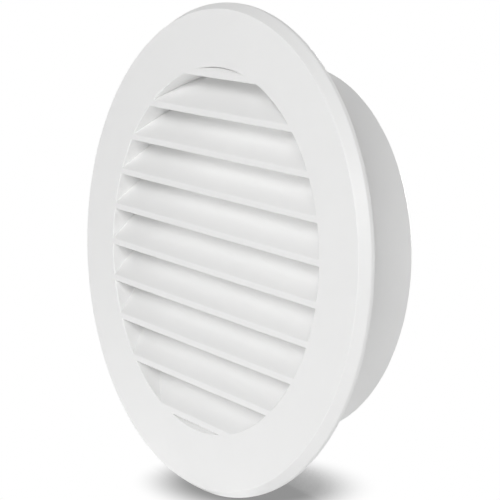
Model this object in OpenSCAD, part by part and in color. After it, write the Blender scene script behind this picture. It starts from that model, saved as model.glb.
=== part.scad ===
// Round louvred vent cover, moulded in one piece. A flange lies against the wall, a collar behind it
// slides into the duct pipe, and sloping slats fill the opening.
// Y = 0 is the wall's face, +Y runs along the duct into the wall, +Z is up, and the origin is on the duct's axis.

/* [Duct collar] */
// Inside diameter of the duct pipe that the collar slides into
duct_d = 100; // [80:1:160]
// Play between the collar and the pipe, on the diameter
duct_play = 0.5; // [0.2:0.1:1.5]
// Reach of the collar into the pipe, measured from the wall's face
collar_reach = 25; // [15:1:60]
// Wall of the collar
collar_wall = 1.5; // [1.2:0.1:3]
// Lead-in chamfer round the collar's free end
lead_in = 0.8; // [0.2:0.1:0.9]
// Fillet where the collar grows out of the flange
root_r = 0.8; // [0.2:0.1:1]

/* [Flange] */
// Reach of the flange past the collar, all round
flange_reach = 15.25; // [8:0.25:40]
// Height of the flange's front face off the wall
flange_height = 3.7; // [3.2:0.1:8]
// Wall of the flange, which is hollow behind
flange_wall = 2; // [1.2:0.1:2.5]
// Width of the bevel round the front face
bevel_w = 1.7; // [0.6:0.1:4]
// Depth of the bevel, from the front face towards the wall
bevel_depth = 1.95; // [0.6:0.05:2.4]
// Radius of the rim's edge next to the wall
rim_r = 0.8; // [0.2:0.1:1]

/* [Louvre] */
// Spacing of the slats, from one to the next
slat_pitch = 10.25; // [8:0.25:16]
// Height of the upright lip along the front of each slat
lip_height = 1.75; // [1.2:0.05:4]
// Wall of the lips
lip_wall = 1.5; // [1:0.1:2.5]
// Slope of the blades, in degrees above the horizontal
blade_slope = 45; // [35:1:60]
// Wall of the blades
blade_wall = 1.5; // [1:0.1:2]
// Slit left in a straight view between the top of a blade and the lip above it
sight_gap = 0.3; // [0:0.1:4]

/* [Edges] */
// Radius of the flange's outer edges
flange_edge_r = 0.4; // [0.1:0.05:0.5]
// Radius of the opening's front edge
opening_r = 0.5; // [0.4:0.05:0.8]
// Radius of the crease where a blade leans back from its lip
crease_r = 0.6; // [0.4:0.1:1]
// Radius of the other long edges of lips and blades
slat_edge_r = 0.3; // [0.1:0.05:0.35]
// Radius of the hidden inner corners
corner_r = 0.25; // [0.1:0.05:0.4]

/* [Hidden] */
$fn = 128;
ARC_STEPS = 4;
CUT_OVER = 1;

collar_r = (duct_d - duct_play) / 2;
bore_r = collar_r - collar_wall;
flange_r = collar_r + flange_reach;
face_r = flange_r - bevel_w;
hollow_r = flange_r - flange_wall;
front_y = -flange_height;
plate_back_y = front_y + flange_wall;

// The slats' ends stop inside the collar's wall, past the rounded edge of the opening
slat_end_r = bore_r + (opening_r + collar_wall) / 2;
// Slats on each side of the middle: as many as still show their whole lip inside the opening
slats_per_side = floor((bore_r - lip_height / 2) / slat_pitch + 0.5);
blade_rise = slat_pitch - lip_height - sight_gap;
blade_run = blade_rise / tan(blade_slope);
// Where the blade's underside runs out on the back of its lip
lip_back_z = lip_height + lip_wall * tan(blade_slope) - blade_wall / cos(blade_slope);

function unit(v) = v / norm(v);
function turn_to(a, b) = (b - a + 540) % 360 - 180;

// Arc of radius r that rounds the corner at b, on the way from a to c
function arc_at(a, b, c, r) =
    let(
        to_a = unit(a - b),
        to_c = unit(c - b),
        half = acos(to_a * to_c) / 2,
        centre = b + unit(to_a + to_c) * r / sin(half),
        from = b + to_a * r / tan(half) - centre,
        to = b + to_c * r / tan(half) - centre,
        start = atan2(from.y, from.x),
        sweep = turn_to(start, atan2(to.y, to.x))
    )
    [for (i = [0 : ARC_STEPS]) centre + r * [cos(start + sweep * i / ARC_STEPS), sin(start + sweep * i / ARC_STEPS)]];

// Outline through corners given as [x, y, radius]
function rounded(corners) =
    let(n = len(corners), at = [for (c = corners) [c.x, c.y]])
    [for (i = [0 : n - 1]) each
        corners[i].z == 0 ? [at[i]] : arc_at(at[(i + n - 1) % n], at[i], at[(i + 1) % n], corners[i].z)];

// Section of flange and collar, as [distance from the axis, distance along it]
module ring_section() {
    polygon(rounded([
        [bore_r, front_y, opening_r],
        [face_r, front_y, flange_edge_r],
        [flange_r, front_y + bevel_depth, flange_edge_r],
        [flange_r, 0, rim_r],
        [hollow_r, 0, corner_r],
        [hollow_r, plate_back_y, corner_r],
        [collar_r, plate_back_y, root_r],
        [collar_r, collar_reach - lead_in, 0],
        [collar_r - lead_in, collar_reach, 0],
        [bore_r, collar_reach, corner_r]
    ]));
}

// Section of one slat, as [depth behind the front face, height above the lip's lower edge]
module slat_section() {
    polygon(rounded([
        [0, 0, slat_edge_r],
        [0, lip_height, crease_r],
        [blade_run, lip_height + blade_rise, slat_edge_r],
        [blade_run + blade_wall * sin(blade_slope), lip_height + blade_rise - blade_wall * cos(blade_slope), slat_edge_r],
        [lip_wall, lip_back_z, corner_r],
        [lip_wall, 0, corner_r]
    ]));
}

// Turns what is modelled along Z so that it runs along the duct
module along_duct() {
    rotate([-90, 0, 0]) children();
}

module ring() {
    along_duct() rotate_extrude() ring_section();
}

module slat() {
    rotate([90, 0, 90]) linear_extrude(height = 2 * (slat_end_r + CUT_OVER), center = true) slat_section();
}

// Slats spread evenly about the duct's axis and trimmed to the round opening
module louvre() {
    intersection() {
        for (i = [-slats_per_side : slats_per_side - 1])
            translate([0, front_y, (i + 0.5) * slat_pitch - lip_height / 2]) slat();
        along_duct() translate([0, 0, front_y - CUT_OVER])
            cylinder(r = slat_end_r, h = flange_height + collar_reach);
    }
}

module vent_cover() {
    color("whitesmoke") union() {
        ring();
        louvre();
    }
}

vent_cover();
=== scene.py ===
# %% [markdown]
# # A round louvred vent cover
#
# The object is one white plastic moulding. A flange lies against the wall, a collar behind it slides
# into the duct pipe, and sloping slats let the air through while they keep rain and sight out.
#
# This lesson builds it round a finished CAD model. The CAD model gives the sizes, and Blender gives
# the smooth roundings, the finish of the plastic, the light and the camera. Every length is in
# metres, Y = 0 is the wall's face, +Y runs along the duct into the wall and +Z is up.

from math import cos, radians, sin

import bpy
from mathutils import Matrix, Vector


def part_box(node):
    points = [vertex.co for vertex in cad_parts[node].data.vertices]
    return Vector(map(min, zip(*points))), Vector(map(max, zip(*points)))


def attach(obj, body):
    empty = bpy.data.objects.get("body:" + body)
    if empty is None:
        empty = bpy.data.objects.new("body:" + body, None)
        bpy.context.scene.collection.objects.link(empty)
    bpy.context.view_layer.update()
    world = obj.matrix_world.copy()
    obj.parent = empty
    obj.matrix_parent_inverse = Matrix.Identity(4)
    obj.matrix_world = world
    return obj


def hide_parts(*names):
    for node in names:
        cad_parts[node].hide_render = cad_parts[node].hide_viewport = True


MM = 0.001
CM = 0.01
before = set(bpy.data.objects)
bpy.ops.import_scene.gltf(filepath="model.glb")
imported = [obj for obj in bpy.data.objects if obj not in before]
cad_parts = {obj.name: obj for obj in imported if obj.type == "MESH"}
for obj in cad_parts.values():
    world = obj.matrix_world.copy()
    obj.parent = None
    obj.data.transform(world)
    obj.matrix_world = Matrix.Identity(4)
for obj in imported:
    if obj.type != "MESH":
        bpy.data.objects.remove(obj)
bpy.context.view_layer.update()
low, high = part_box("vent_cover")
print("CAD model in mm:", [round((high[i] - low[i]) / MM, 2) for i in range(3)])

# %% [markdown]
# ## The sizes
#
# A moulding is drawn from a few sections, so its sizes are kept as named lengths. The box of the CAD
# model already holds three of them: half its width is the flange's radius, its front is how far the
# flange stands off the wall, and its back is how far the collar reaches into the pipe. The rest is
# written here.
#
# They are collected in one dictionary, because each of them becomes a named input of the node tree
# that makes the shape. A learner can then open the tree and turn every size by hand.

# %% Sizes of the moulding
SIZES = {
    "Flange radius": (high.x - low.x) / 2,
    "Flange front": low.y,
    "Flange wall": 2 * MM,
    "Bevel width": 1.7 * MM,
    "Bevel depth": 2.65 * MM,
    "Collar radius": 49.75 * MM,
    "Collar wall": 1.5 * MM,
    "Collar end": high.y,
    "Lead-in": 0.8 * MM,
    "Slat pitch": 10.25 * MM,
    "Lip height": 1.75 * MM,
    "Lip wall": 1.5 * MM,
    "Blade wall": 1.5 * MM,
    "Blade slope": radians(45),
    "Sight gap": 0.3 * MM,
    "Lip setback": 0.02 * MM,
}
print("Sizes:", len(SIZES))

# %% [markdown]
# No moulded edge is truly sharp, because the corners of the tool are rounded too. The rim, the root
# of the collar and the creases of the slats have the larger radii. The other corners keep a small
# one, so that they still catch a little light.

# %% Radii and steps
OPENING_ROUND = 0.25 * MM
FLANGE_ROUND = 0.3 * MM
RIM_FRONT_ROUND = 0.8 * MM
RIM_BACK_ROUND = 0.25 * MM
ROOT_ROUND = 0.8 * MM
CREASE_ROUND = 0.6 * MM
SLAT_ROUND = 0.3 * MM
INNER_ROUND = 0.25 * MM
LEAD_IN_ROUND = 0.12 * MM
ROUND_STEPS = 6
RING_STEPS = 256
SLATS = 10
print("Slats:", SLATS)

# %% [markdown]
# ## Node trees written as sums
#
# Both the shape and the finish come from node trees, and most of the nodes in them only do sums.
# Joining those by hand is slow to write and slower to read back, so one small class wraps a socket. A
# sum of two of these adds the Math node for it, and the `node` method adds a node of any other kind.

# %% A socket that joins in Python sums
NODE_SPACING = 190


class Wire:
    """One output socket of a node tree."""

    def __init__(self, tree, socket):
        self.tree = tree
        self.socket = socket

    @classmethod
    def node(cls, tree, kind, settings, sockets, output=0):
        """Adds a node, sets it up, fills its sockets and returns one of its outputs."""
        made = tree.nodes.new(kind)
        made.location.x = NODE_SPACING * len(tree.nodes)
        for name, value in settings.items():
            if name == "items":
                while len(made.index_switch_items) < value:
                    made.index_switch_items.new()
            else:
                setattr(made, name, value)
        for key, value in sockets.items():
            for one in value if isinstance(value, list) else [value]:
                if isinstance(one, Wire):
                    tree.links.new(one.socket, made.inputs[key])
                else:
                    made.inputs[key].default_value = one
        return cls(tree, made.outputs[output])

    def beside(self, output):
        """Another output of the same node."""
        return Wire(self.tree, self.socket.node.outputs[output])

    def maths(self, operation, *values):
        """Adds a Math node that works on values."""
        settings = {"operation": operation}
        return Wire.node(self.tree, "ShaderNodeMath", settings, dict(enumerate(values)))

    def __add__(self, other):
        return self.maths("ADD", self, other)

    def __radd__(self, other):
        return self.maths("ADD", other, self)

    def __sub__(self, other):
        return self.maths("SUBTRACT", self, other)

    def __rsub__(self, other):
        return self.maths("SUBTRACT", other, self)

    def __mul__(self, other):
        return self.maths("MULTIPLY", self, other)

    def __rmul__(self, other):
        return self.maths("MULTIPLY", other, self)

    def __truediv__(self, other):
        return self.maths("DIVIDE", self, other)

    def __neg__(self):
        return self.maths("MULTIPLY", self, -1)


# %% [markdown]
# ## The finish of the plastic
#
# The real cover is white plastic with a satin gloss. Seen close, such a skin has three kinds of
# detail. The tool was blasted, which leaves a fine grain. The melt cooled unevenly, so the gloss
# drifts a little over a few centimetres. And where the tool slid off the moulding, it drew faint
# lines along the duct.
#
# All three read Object coordinates, which stay still on the piece. The colour hardly changes: on
# white plastic it is the gloss and the grain that tell the eye what the stuff is.

# %% White plastic
GRAIN_SIZE = 0.35 * MM
DRIFT_SIZE = 24 * MM
DRAG_SIZE = 0.9 * MM
DRAG_LENGTH = 30
GRAIN_DETAIL = 2
DRIFT_DETAIL = 2
DRAG_DETAIL = 3
PALE = (0.872, 0.872, 0.868, 1)
DEEP = (0.850, 0.850, 0.846, 1)
LEAST_ROUGH = 0.36
ROUGHER_BY_DRIFT = 0.07
ROUGHER_BY_GRAIN = 0.05
DRAG_SHARE = 0.35
BUMP_HEIGHT = 0.02 * MM
BUMP_STRENGTH = 0.25
PLASTIC_IOR = 1.5

# A Mix node has sockets for every kind of data. These are its factor and the three for colours.
MIX_FACTOR, MIX_FROM, MIX_TO, MIX_COLOUR = 0, 6, 7, 2


def noise(tree, place, size, detail):
    """Soft noise from 0 to 1, with blobs about size across."""
    sockets = {"Vector": place, "Scale": 1 / size, "Detail": detail}
    return Wire.node(tree, "ShaderNodeTexNoise", {}, sockets)


def white_plastic():
    """The material of the whole cover."""
    material = bpy.data.materials.new("white_plastic")
    material.use_nodes = True
    tree = material.node_tree
    surface = tree.nodes["Principled BSDF"]
    place = Wire.node(tree, "ShaderNodeTexCoord", {}, {}, "Object")
    along_duct = {"Vector": place, "Scale": (1, 1 / DRAG_LENGTH, 1)}
    drawn_out = Wire.node(tree, "ShaderNodeMapping", {}, along_duct)
    grain = noise(tree, place, GRAIN_SIZE, GRAIN_DETAIL)
    drift = noise(tree, place, DRIFT_SIZE, DRIFT_DETAIL)
    drag = noise(tree, drawn_out, DRAG_SIZE, DRAG_DETAIL)

    colours = {MIX_FACTOR: drift, MIX_FROM: DEEP, MIX_TO: PALE}
    tint = Wire.node(tree, "ShaderNodeMix", {"data_type": "RGBA"}, colours, MIX_COLOUR)
    rough = LEAST_ROUGH + ROUGHER_BY_DRIFT * drift + ROUGHER_BY_GRAIN * grain
    height = grain + DRAG_SHARE * drag
    relief = {"Strength": BUMP_STRENGTH, "Distance": BUMP_HEIGHT, "Height": height}
    bump = Wire.node(tree, "ShaderNodeBump", {}, relief)
    for name, value in {"Base Color": tint, "Roughness": rough, "Normal": bump}.items():
        tree.links.new(value.socket, surface.inputs[name])
    surface.inputs["IOR"].default_value = PLASTIC_IOR
    return material


plastic = white_plastic()
print("Nodes in the white plastic:", len(plastic.node_tree.nodes))

# %% [markdown]
# ## A section with rounded corners
#
# Flange and collar together are one section turned round the duct's axis, and every slat is one
# section pushed along X. A section is only a list of corners, each with its radius. In Geometry Nodes
# a Mesh Line gives one point for each corner, Index Switches hand every point its place and its
# radius, and Fillet Curve rounds the corners.

# %% Corners to curve
def by_index(tree, values):
    """The value whose place in the list is the point's own index."""
    index = Wire.node(tree, "GeometryNodeInputIndex", {}, {})
    sockets = {"Index": index} | {i + 1: value for i, value in enumerate(values)}
    settings = {"data_type": "FLOAT", "items": len(values)}
    return Wire.node(tree, "GeometryNodeIndexSwitch", settings, sockets)


def section(tree, corners):
    """Closed curve in the XY plane through corners, each given as (x, y, radius)."""
    xs, ys, radii = zip(*corners)
    spot = {"X": by_index(tree, xs), "Y": by_index(tree, ys)}
    place = Wire.node(tree, "ShaderNodeCombineXYZ", {}, spot)
    line = Wire.node(tree, "GeometryNodeMeshLine", {}, {"Count": len(corners)})
    placed = Wire.node(tree, "GeometryNodeSetPosition", {}, {"Geometry": line, "Position": place})
    curve = Wire.node(tree, "GeometryNodeMeshToCurve", {}, {"Mesh": placed})
    closed = Wire.node(tree, "GeometryNodeSetSplineCyclic", {}, {"Geometry": curve, "Cyclic": True})
    rounding = {"Curve": closed, "Count": ROUND_STEPS, "Radius": by_index(tree, radii)}
    return Wire.node(tree, "GeometryNodeFilletCurve", {"mode": "POLY"}, rounding)


def sweep(tree, rail, outline, turn):
    """Outline swept along rail, then turned about X by turn degrees into its place."""
    swept = {"Curve": rail, "Profile Curve": outline, "Fill Caps": True}
    mesh = Wire.node(tree, "GeometryNodeCurveToMesh", {}, swept)
    turned = {"Geometry": mesh, "Rotation": (radians(turn), 0, 0)}
    return Wire.node(tree, "GeometryNodeTransform", {}, turned)


print("Steps in one rounded corner:", ROUND_STEPS)

# %% [markdown]
# ## Flange and collar
#
# On the real cover this is a shallow dish with a tube behind it. The dish is hollow at the back, so
# that the wall of the moulding is about the same all over and cools without sinking in. Turning the
# section in one go keeps the bevel, the rim and the collar on one axis, which is also how the steel
# of the tool is cut.
#
# The rail is the circle of the opening, so the corners are measured outwards from it. The bevel is
# drawn deeper than on the CAD model, because in the photograph its light band takes up most of the
# flange's edge.

# %% The ring
def ring(tree, size):
    """Flange and collar, as one section turned round the axis of the duct."""
    bore = size["Collar radius"] - size["Collar wall"]
    face = size["Flange radius"] - size["Bevel width"]
    hollow = size["Flange radius"] - size["Flange wall"]
    front = size["Flange front"]
    plate_back = front + size["Flange wall"]
    corners = [
        (bore, front, OPENING_ROUND),
        (face, front, FLANGE_ROUND),
        (size["Flange radius"], front + size["Bevel depth"], RIM_FRONT_ROUND),
        (size["Flange radius"], 0.0, RIM_BACK_ROUND),
        (hollow, 0.0, INNER_ROUND),
        (hollow, plate_back, INNER_ROUND),
        (size["Collar radius"], plate_back, ROOT_ROUND),
        (size["Collar radius"], size["Collar end"] - size["Lead-in"], LEAD_IN_ROUND),
        (size["Collar radius"] - size["Lead-in"], size["Collar end"], LEAD_IN_ROUND),
        (bore, size["Collar end"], INNER_ROUND),
    ]
    outline = section(tree, [(r - bore, y, rounding) for r, y, rounding in corners])
    opening = {"Resolution": RING_STEPS, "Radius": bore}
    rail = Wire.node(tree, "GeometryNodeCurvePrimitiveCircle", {}, opening)
    return sweep(tree, rail, outline, turn=90)


print("Opening's radius in mm:", round((SIZES["Collar radius"] - SIZES["Collar wall"]) / MM, 2))

# %% [markdown]
# ## The slats
#
# Each slat starts with a low upright lip flush with the flange. From the lip's upper edge a blade
# leans back at 45 degrees and ends just under the lip above it, so nobody looks through, and rain
# that blows in runs down the blade and out over the lip. One slat is made, and copies of it stand on
# a line of points.
#
# A row of straight bars has to end in the round wall of the collar. Cutting all of them with one
# cylinder that ends inside that wall, a third of its thickness from the outer face, is quick and
# exact, however many there are. Their fronts sit a hair behind the flange's, because a Boolean is
# unsure of faces that lie in one plane.

# %% The louvre
WALL_PARTS = 3


def slat(tree, size):
    """One slat across the whole flange: an upright lip, a crease and a sloping blade."""
    rise = size["Slat pitch"] - size["Lip height"] - size["Sight gap"]
    slope = size["Blade slope"]
    tangent = slope.maths("TANGENT", slope)
    sine = slope.maths("SINE", slope)
    cosine = slope.maths("COSINE", slope)
    run = rise / tangent
    top = size["Lip height"] + rise
    lip_back = size["Lip height"] + size["Lip wall"] * tangent - size["Blade wall"] / cosine
    corners = [
        (0.0, 0.0, SLAT_ROUND),
        (size["Lip wall"], 0.0, INNER_ROUND),
        (size["Lip wall"], lip_back, INNER_ROUND),
        (run + size["Blade wall"] * sine, top - size["Blade wall"] * cosine, SLAT_ROUND),
        (run, top, SLAT_ROUND),
        (0.0, size["Lip height"], CREASE_ROUND),
    ]
    reach = size["Flange radius"]
    ends = [Wire.node(tree, "ShaderNodeCombineXYZ", {}, {"X": x}) for x in (-reach, reach)]
    rail = Wire.node(tree, "GeometryNodeCurvePrimitiveLine", {}, {"Start": ends[0], "End": ends[1]})
    return sweep(tree, rail, section(tree, corners), turn=180)


def louvre(tree, size):
    """All slats, trimmed by a lying cylinder that is longer than they are deep."""
    lowest = size["Slat pitch"] * ((1 - SLATS) / 2) - size["Lip height"] / 2
    first = {"Y": size["Flange front"] + size["Lip setback"], "Z": lowest}
    start = Wire.node(tree, "ShaderNodeCombineXYZ", {}, first)
    step = Wire.node(tree, "ShaderNodeCombineXYZ", {}, {"Z": size["Slat pitch"]})
    row = {"Count": SLATS, "Start Location": start, "Offset": step}
    points = Wire.node(tree, "GeometryNodeMeshLine", {}, row)
    copies = {"Points": points, "Instance": slat(tree, size)}
    slats = Wire.node(tree, "GeometryNodeInstanceOnPoints", {}, copies)
    bars = Wire.node(tree, "GeometryNodeRealizeInstances", {}, {"Geometry": slats})
    trim = size["Collar radius"] - size["Collar wall"] / WALL_PARTS
    drum = {"Vertices": RING_STEPS, "Radius": trim, "Depth": size["Flange radius"]}
    upright = Wire.node(tree, "GeometryNodeMeshCylinder", {}, drum)
    lying = {"Geometry": upright, "Rotation": (radians(90), 0, 0)}
    cutter = Wire.node(tree, "GeometryNodeTransform", {}, lying)
    both = {"operation": "INTERSECT", "solver": "MANIFOLD"}
    return Wire.node(tree, "GeometryNodeMeshBoolean", both, {"Mesh 2": [bars, cutter]})


rise_mm = (SIZES["Slat pitch"] - SIZES["Lip height"] - SIZES["Sight gap"]) / MM
print("Rise of a blade in mm:", round(rise_mm, 2))

# %% [markdown]
# ## One moulding
#
# Ring and slats come out of the tool as one piece, so a Boolean joins them into one closed skin. Then
# the shading is sorted out: every face is smooth, and only edges that turn by more than 30 degrees
# stay crisp, which are the lines where the slats meet the wall of the opening.

# %% The tree of the moulding
CRISP_ANGLE = radians(30)
MERGE = 0.001 * MM


def moulding_tree():
    """The node tree that makes the moulding, with an input for each size."""
    tree = bpy.data.node_groups.new("round_vent_moulding", "GeometryNodeTree")
    tree.interface.new_socket("Geometry", in_out="OUTPUT", socket_type="NodeSocketGeometry")
    for name, value in SIZES.items():
        socket = tree.interface.new_socket(name, in_out="INPUT", socket_type="NodeSocketFloat")
        socket.default_value = value
    inputs = tree.nodes.new("NodeGroupInput")
    size = {name: Wire(tree, inputs.outputs[name]) for name in SIZES}
    both = {"operation": "UNION", "solver": "MANIFOLD"}
    shells = {"Mesh 2": [ring(tree, size), louvre(tree, size)]}
    skin = Wire.node(tree, "GeometryNodeMeshBoolean", both, shells)
    close = {"Geometry": skin, "Distance": MERGE}
    merged = Wire.node(tree, "GeometryNodeMergeByDistance", {}, close)
    smooth = {"Geometry": merged, "Shade Smooth": True}
    soft = Wire.node(tree, "GeometryNodeSetShadeSmooth", {"domain": "FACE"}, smooth)
    angle = Wire.node(tree, "GeometryNodeInputMeshEdgeAngle", {}, {})
    crisp = angle.maths("GREATER_THAN", angle, CRISP_ANGLE)
    edges = {"Geometry": soft, "Selection": crisp, "Shade Smooth": False}
    shaded = Wire.node(tree, "GeometryNodeSetShadeSmooth", {"domain": "EDGE"}, edges)
    real = Wire.node(tree, "GeometryNodeRealizeInstances", {}, {"Geometry": shaded})
    finish = {"Geometry": real, "Material": plastic}
    painted = Wire.node(tree, "GeometryNodeSetMaterial", {}, finish)
    output = tree.nodes.new("NodeGroupOutput")
    tree.links.new(painted.socket, output.inputs["Geometry"])
    return tree


tree = moulding_tree()
print("Nodes in the moulding:", len(tree.nodes))

# %% [markdown]
# The tree sits in a modifier on an empty mesh. A modifier's inputs are set by the identifiers of
# their sockets. Weighted Normal comes after it: it lets the large flat faces keep their own
# direction, and leaves the turning of the light to the narrow roundings between them. Then the result
# is kept as a plain mesh.

# %% Make the moulding
def baked(name, tree, values):
    """A plain mesh object of what the tree makes with these values."""
    piece = bpy.data.objects.new(name, bpy.data.meshes.new(name))
    bpy.context.scene.collection.objects.link(piece)
    modifier = piece.modifiers.new("shape", "NODES")
    modifier.node_group = tree
    for item in tree.interface.items_tree:
        if item.in_out == "INPUT":
            modifier[item.identifier] = values[item.name]
    weighted = piece.modifiers.new("normals", "WEIGHTED_NORMAL")
    weighted.keep_sharp = True
    ready = piece.evaluated_get(bpy.context.evaluated_depsgraph_get())
    mesh = bpy.data.meshes.new_from_object(ready)
    piece.modifiers.clear()
    piece.data = mesh
    mesh.name = name
    return piece


cover = baked("vent_cover_moulding", tree, SIZES)
cover.data.calc_loop_triangles()
print("Triangles in the moulding:", len(cover.data.loop_triangles))

# %% [markdown]
# Before it goes on, the mesh is measured. A closed skin has no open edge, and its volume comes out
# positive only if its faces point outwards.

# %% Measure the moulding
import bmesh

probe = bmesh.new()
probe.from_mesh(cover.data)
open_edges = sum(1 for edge in probe.edges if len(edge.link_faces) != 2)
volume = probe.calc_volume(signed=True)
probe.free()
print("Open edges:", open_edges, "volume in cm3:", round(volume / CM**3, 3))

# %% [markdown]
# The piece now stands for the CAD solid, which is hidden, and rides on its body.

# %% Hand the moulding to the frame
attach(cover, "root")
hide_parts("vent_cover")

# %% [markdown]
# ## Floor and backdrop
#
# The photograph stands the cover on a white sweep with light from all sides, so that nothing is left
# but a soft dark patch round its foot. Turning up the lamps until the floor is white would burn out
# the white cover too. So the floor has two sides to it. Light that bounces finds plain white paper.
# The camera and reflections find a glowing pure white with a painted shadow in it. It is darker where
# the cover hides much of the room above the paper, which the Ambient Occlusion node measures. Further
# out the painted shadow fades out in a soft oval, as the lamps of such a studio would fill it again.
# The oval's middle is under the collar, where the cover hangs lowest over the paper.

# %% White floor
FLOOR_SIZE = 6
PAPER_COLOUR = 0.9
SHADOW_REACH = 0.3
SHADOW_SAMPLES = 32
SHADOW_TONE = 0.29
OPEN_IN_SHADOW = 0.53
OPEN_IN_LIGHT = 0.83
SHADOW_PLACE = (0.002, 0.017, 0)
SHADOW_SPREAD = (0.0303, 0.0365, 1)
SHADOW_CORE = 0.47


def grey(level):
    """A grey without any tint."""
    return (level, level, level, 1)


def seen_directly(tree):
    """1 for rays from the camera, a reflection or clear material, and 0 for light that bounces."""
    camera = Wire.node(tree, "ShaderNodeLightPath", {}, {}, "Is Camera Ray")
    glossy, through = camera.beside("Is Glossy Ray"), camera.beside("Is Transmission Ray")
    return camera.maths("MAXIMUM", camera, camera.maths("MAXIMUM", glossy, through))


def fade(tree, value, none, full):
    """0 where value is none, 1 where it is full, and a soft step between them."""
    ends = {"Value": value, "From Min": none, "From Max": full}
    return Wire.node(tree, "ShaderNodeMapRange", {"interpolation_type": "SMOOTHSTEP"}, ends)


def white_floor():
    """Paper for light that bounces, and a glowing white ground with a painted shadow for the camera.
    """
    material = bpy.data.materials.new("white_sweep")
    material.use_nodes = True
    tree = material.node_tree
    tree.nodes.remove(tree.nodes["Principled BSDF"])
    paper = Wire.node(tree, "ShaderNodeBsdfDiffuse", {}, {"Color": grey(PAPER_COLOUR)})
    reach = {"Distance": SHADOW_REACH}
    opening = Wire.node(tree, "ShaderNodeAmbientOcclusion", {"samples": SHADOW_SAMPLES}, reach, "AO")
    place = Wire.node(tree, "ShaderNodeTexCoord", {}, {}, "Object")
    oval = {"Vector": place, "Location": SHADOW_PLACE, "Scale": SHADOW_SPREAD}
    inside = Wire.node(tree, "ShaderNodeMapping", {"vector_type": "TEXTURE"}, oval)
    length = {"operation": "LENGTH"}
    away = Wire.node(tree, "ShaderNodeVectorMath", length, {"Vector": inside}, "Value")
    # Painted shadow on the glowing ground: darker where the cover is close, faded out in an oval.
    painted_shade = fade(tree, opening, OPEN_IN_LIGHT, OPEN_IN_SHADOW) * fade(tree, away, 1, SHADOW_CORE)
    painted_ground = Wire.node(tree, "ShaderNodeEmission", {}, {"Strength": 1 - (1 - SHADOW_TONE) * painted_shade})
    sides = dict(enumerate([seen_directly(tree), paper, painted_ground]))
    both = Wire.node(tree, "ShaderNodeMixShader", {}, sides)
    tree.links.new(both.socket, tree.nodes["Material Output"].inputs["Surface"])
    return material


bpy.ops.mesh.primitive_plane_add(size=FLOOR_SIZE, location=(0, 0, low.z))
floor = bpy.context.object
floor.name = "floor"
floor.data.materials.append(white_floor())
print("Floor at z in mm:", round(low.z / MM, 2))

# %% [markdown]
# ## Light
#
# A white studio is bright on all sides, so some of the light comes from the world. A wide, flat key
# lamp stands in front, to the right and a little above. It draws the shadow that each lip throws on
# the blade below, and being flat it keeps the edge of that shadow fairly firm. Two weaker lamps stand
# behind the cover, one on each side, for the light that a white sweep sends back. They reach the wall
# of the opening and the collar. The last two lie on the floor and shine upwards, for the bright paper
# round the foot. The one in front makes the flange lighter at the bottom than at the top, and the one
# at the side reaches the low parts of the bevel and the collar.

# %% World and lamps
WORLD_LEVEL = 0.2
GLOW_LIFT = 1 * MM

world = bpy.data.worlds.new("white_studio")
bpy.context.scene.world = world
world.use_nodes = True
sky = world.node_tree
background = sky.nodes["Background"]
background.inputs["Color"].default_value = grey(1)
brightness = WORLD_LEVEL + (1 - WORLD_LEVEL) * seen_directly(sky)
sky.links.new(brightness.socket, background.inputs["Strength"])


def soft_lamp(name, place, aim, size, watts):
    """An unseen oval lamp of size (width, height) that shines from place along aim."""
    lamp = bpy.data.lights.new(name, "AREA")
    lamp.shape = "ELLIPSE"
    lamp.size, lamp.size_y = size
    lamp.energy = watts
    stand = bpy.data.objects.new(name, lamp)
    bpy.context.scene.collection.objects.link(stand)
    stand.location = place
    stand.rotation_euler = aim.to_track_quat("-Z", "Y").to_euler()
    stand.visible_camera = False


def facing_lamp(name, azimuth, elevation, distance, size, watts):
    """A soft lamp that faces the cover. Azimuth 0 is straight in front, and 90 degrees is at +X."""
    turn, rise = radians(azimuth), radians(elevation)
    away = Vector((sin(turn) * cos(rise), -cos(turn) * cos(rise), sin(rise)))
    soft_lamp(name, distance * away, -away, size, watts)


def glowing_paper(name, x, y, size, watts):
    """A round patch of the floor that shines upwards."""
    place = Vector((x, y, low.z + GLOW_LIFT))
    soft_lamp(name, place, Vector((0, 0, 1)), (size, size), watts)


facing_lamp("key", azimuth=36, elevation=27, distance=0.9, size=(1.1, 0.4), watts=5.7)
facing_lamp("back_right", azimuth=150, elevation=5, distance=0.5, size=(0.2, 0.2), watts=0.3)
facing_lamp("back_left", azimuth=-150, elevation=10, distance=0.6, size=(0.3, 0.3), watts=2.1)
glowing_paper("glow_front", x=-0.05, y=-0.1, size=0.25, watts=0.044)
glowing_paper("glow_side", x=0.12, y=-0.02, size=0.15, watts=0.009)

# %% [markdown]
# ## Camera
#
# The outlines of the flange and the collar are two ellipses in the photograph, and together they give
# the camera: it stands 44 cm away in front and to the right, a little above the middle, and leans by
# 4 degrees.

# %% Camera
CAMERA_PLACE = (0.35813, -0.24679, 0.06804)
CAMERA_TURN = (81.1866, -4.1605, 54.9745)
CAMERA_LENS = 119.8
CAMERA_SENSOR = 36

lens = bpy.data.cameras.new("camera")
lens.lens = CAMERA_LENS
lens.sensor_width = CAMERA_SENSOR
camera = bpy.data.objects.new("camera", lens)
bpy.context.scene.collection.objects.link(camera)
camera.location = CAMERA_PLACE
camera.rotation_euler = [radians(turn) for turn in CAMERA_TURN]
bpy.context.scene.camera = camera
bpy.context.scene.view_settings.view_transform = "Standard"
print("Camera's distance in cm:", round(camera.location.length / CM, 1))
